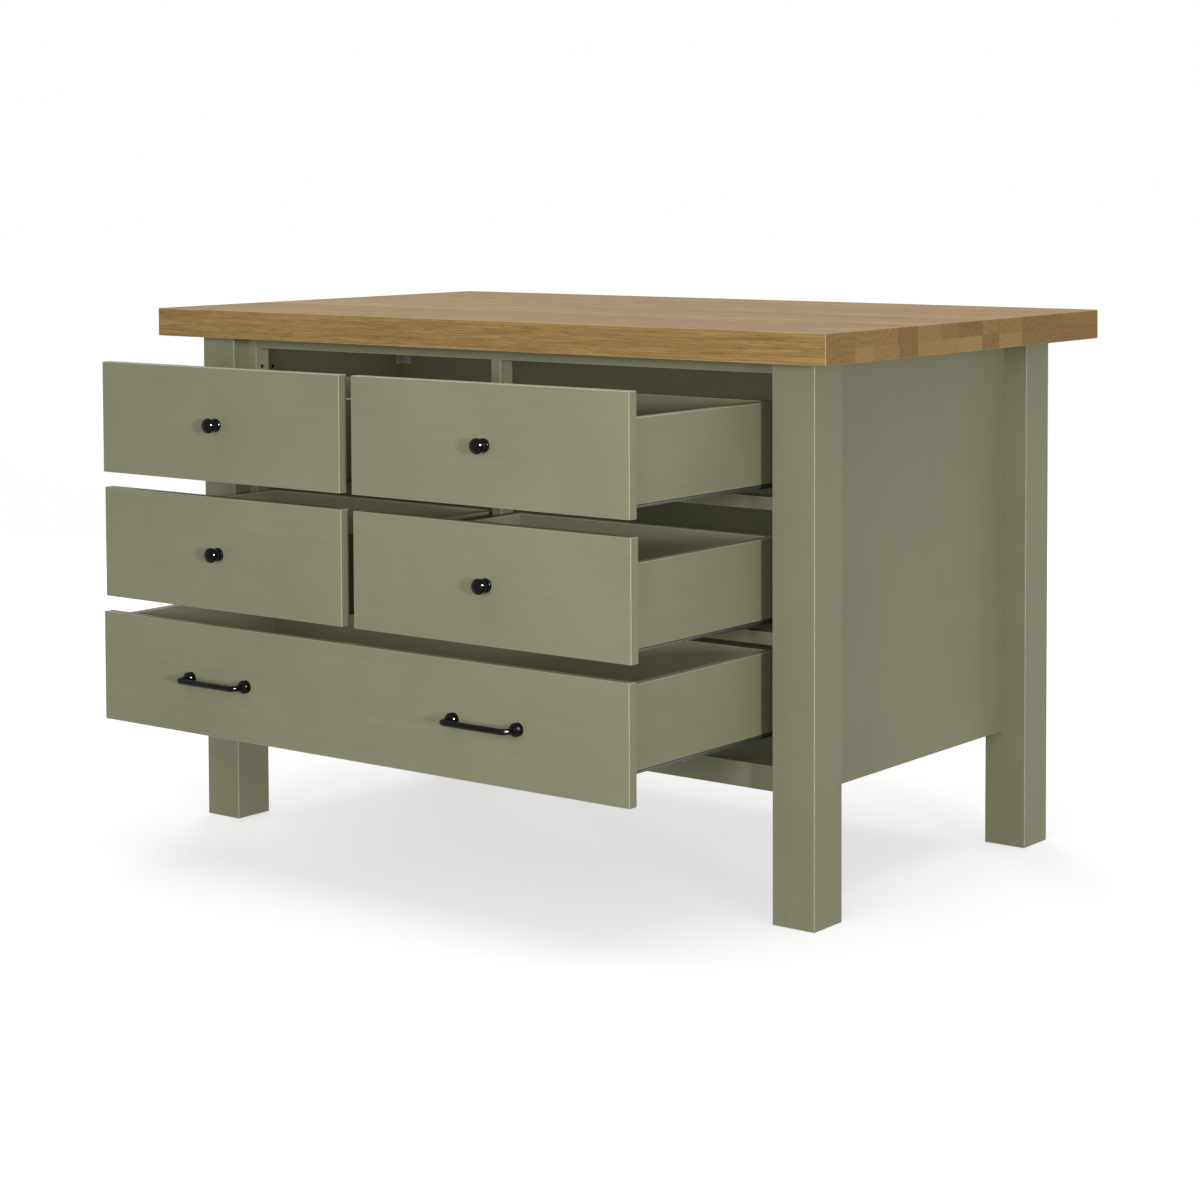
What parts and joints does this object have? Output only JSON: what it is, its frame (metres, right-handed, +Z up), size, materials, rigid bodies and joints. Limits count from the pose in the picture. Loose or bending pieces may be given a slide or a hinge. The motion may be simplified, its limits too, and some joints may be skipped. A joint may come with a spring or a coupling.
{
  "type": "kitchen island unit",
  "caption": "Kitchen island with an oak worktop on a painted frame of square legs, and rows of drawers on runners standing open.",
  "frame": {"origin": "on the floor, at the centre of the rectangle over the outer faces of the four legs", "axes": "+X to the right along the drawer fronts, +Y from the drawer fronts to the back, +Z up"},
  "size_m": [1.44, 1.1863, 0.93],
  "materials": {
    "oak": "oiled oak, satin",
    "painted_wood": "sage green paint, satin",
    "black_iron": "black, glossy",
    "zinc_steel": "zinc plated"
  },
  "bodies": {
    "cabinet": {"worktop": "oak", "front_left_leg": "painted_wood", "front_right_leg": "painted_wood", "rear_left_leg": "painted_wood", "rear_right_leg": "painted_wood", "left_side_panel": "painted_wood", "right_side_panel": "painted_wood", "back_panel": "painted_wood", "inner_back": "painted_wood", "floor_panel": "painted_wood", "top_rail": "painted_wood", "upper_rail": "painted_wood", "middle_rail": "painted_wood", "bottom_rail": "painted_wood", "outer_stiles": "painted_wood", "centre_stiles": "painted_wood", "runner_bearers": "painted_wood", "corner_brackets": "zinc_steel", "cabinet_runners": "zinc_steel"},
    "upper_left_drawer": {"upper_left_front": "painted_wood", "upper_left_left_side": "painted_wood", "upper_left_right_side": "painted_wood", "upper_left_back": "painted_wood", "upper_left_base": "painted_wood", "upper_left_runner_members": "zinc_steel", "upper_left_knob": "black_iron"},
    "upper_left_runner_slides": {"upper_left_slides": "zinc_steel"},
    "upper_right_drawer": {"upper_right_front": "painted_wood", "upper_right_left_side": "painted_wood", "upper_right_right_side": "painted_wood", "upper_right_back": "painted_wood", "upper_right_base": "painted_wood", "upper_right_runner_members": "zinc_steel", "upper_right_knob": "black_iron"},
    "upper_right_runner_slides": {"upper_right_slides": "zinc_steel"},
    "middle_left_drawer": {"middle_left_front": "painted_wood", "middle_left_left_side": "painted_wood", "middle_left_right_side": "painted_wood", "middle_left_back": "painted_wood", "middle_left_base": "painted_wood", "middle_left_runner_members": "zinc_steel", "middle_left_knob": "black_iron"},
    "middle_left_runner_slides": {"middle_left_slides": "zinc_steel"},
    "middle_right_drawer": {"middle_right_front": "painted_wood", "middle_right_left_side": "painted_wood", "middle_right_right_side": "painted_wood", "middle_right_back": "painted_wood", "middle_right_base": "painted_wood", "middle_right_runner_members": "zinc_steel", "middle_right_knob": "black_iron"},
    "middle_right_runner_slides": {"middle_right_slides": "zinc_steel"},
    "lower_drawer": {"lower_front": "painted_wood", "lower_left_side": "painted_wood", "lower_right_side": "painted_wood", "lower_back": "painted_wood", "lower_base": "painted_wood", "lower_runner_members": "zinc_steel", "lower_left_handle": "black_iron", "lower_right_handle": "black_iron"},
    "lower_runner_slides": {"lower_slides": "zinc_steel"}
  },
  "joints": [
    {"name": "upper_left_drawer_pull", "type": "slide", "parent": "cabinet", "child": "upper_left_drawer", "axis": [0, -1, 0], "range_m": [-0.371, 0.009]},
    {"name": "upper_left_runner_travel", "type": "slide", "parent": "cabinet", "child": "upper_left_runner_slides", "axis": [0, -1, 0], "range_m": [-0.186, 0.005]},
    {"name": "upper_right_drawer_pull", "type": "slide", "parent": "cabinet", "child": "upper_right_drawer", "axis": [0, -1, 0], "range_m": [-0.371, 0.009]},
    {"name": "upper_right_runner_travel", "type": "slide", "parent": "cabinet", "child": "upper_right_runner_slides", "axis": [0, -1, 0], "range_m": [-0.186, 0.005]},
    {"name": "middle_left_drawer_pull", "type": "slide", "parent": "cabinet", "child": "middle_left_drawer", "axis": [0, -1, 0], "range_m": [-0.368, 0.012]},
    {"name": "middle_left_runner_travel", "type": "slide", "parent": "cabinet", "child": "middle_left_runner_slides", "axis": [0, -1, 0], "range_m": [-0.1845, 0.0065]},
    {"name": "middle_right_drawer_pull", "type": "slide", "parent": "cabinet", "child": "middle_right_drawer", "axis": [0, -1, 0], "range_m": [-0.368, 0.012]},
    {"name": "middle_right_runner_travel", "type": "slide", "parent": "cabinet", "child": "middle_right_runner_slides", "axis": [0, -1, 0], "range_m": [-0.1845, 0.0065]},
    {"name": "lower_drawer_pull", "type": "slide", "parent": "cabinet", "child": "lower_drawer", "axis": [0, -1, 0], "range_m": [-0.373, 0.007]},
    {"name": "lower_runner_travel", "type": "slide", "parent": "cabinet", "child": "lower_runner_slides", "axis": [0, -1, 0], "range_m": [-0.187, 0.004]}
  ],
  "couplings": [
    {"joint": "upper_left_runner_travel", "follows": "upper_left_drawer_pull", "ratio": 0.5},
    {"joint": "upper_right_runner_travel", "follows": "upper_right_drawer_pull", "ratio": 0.5},
    {"joint": "middle_left_runner_travel", "follows": "middle_left_drawer_pull", "ratio": 0.5},
    {"joint": "middle_right_runner_travel", "follows": "middle_right_drawer_pull", "ratio": 0.5},
    {"joint": "lower_runner_travel", "follows": "lower_drawer_pull", "ratio": 0.5}
  ]
}
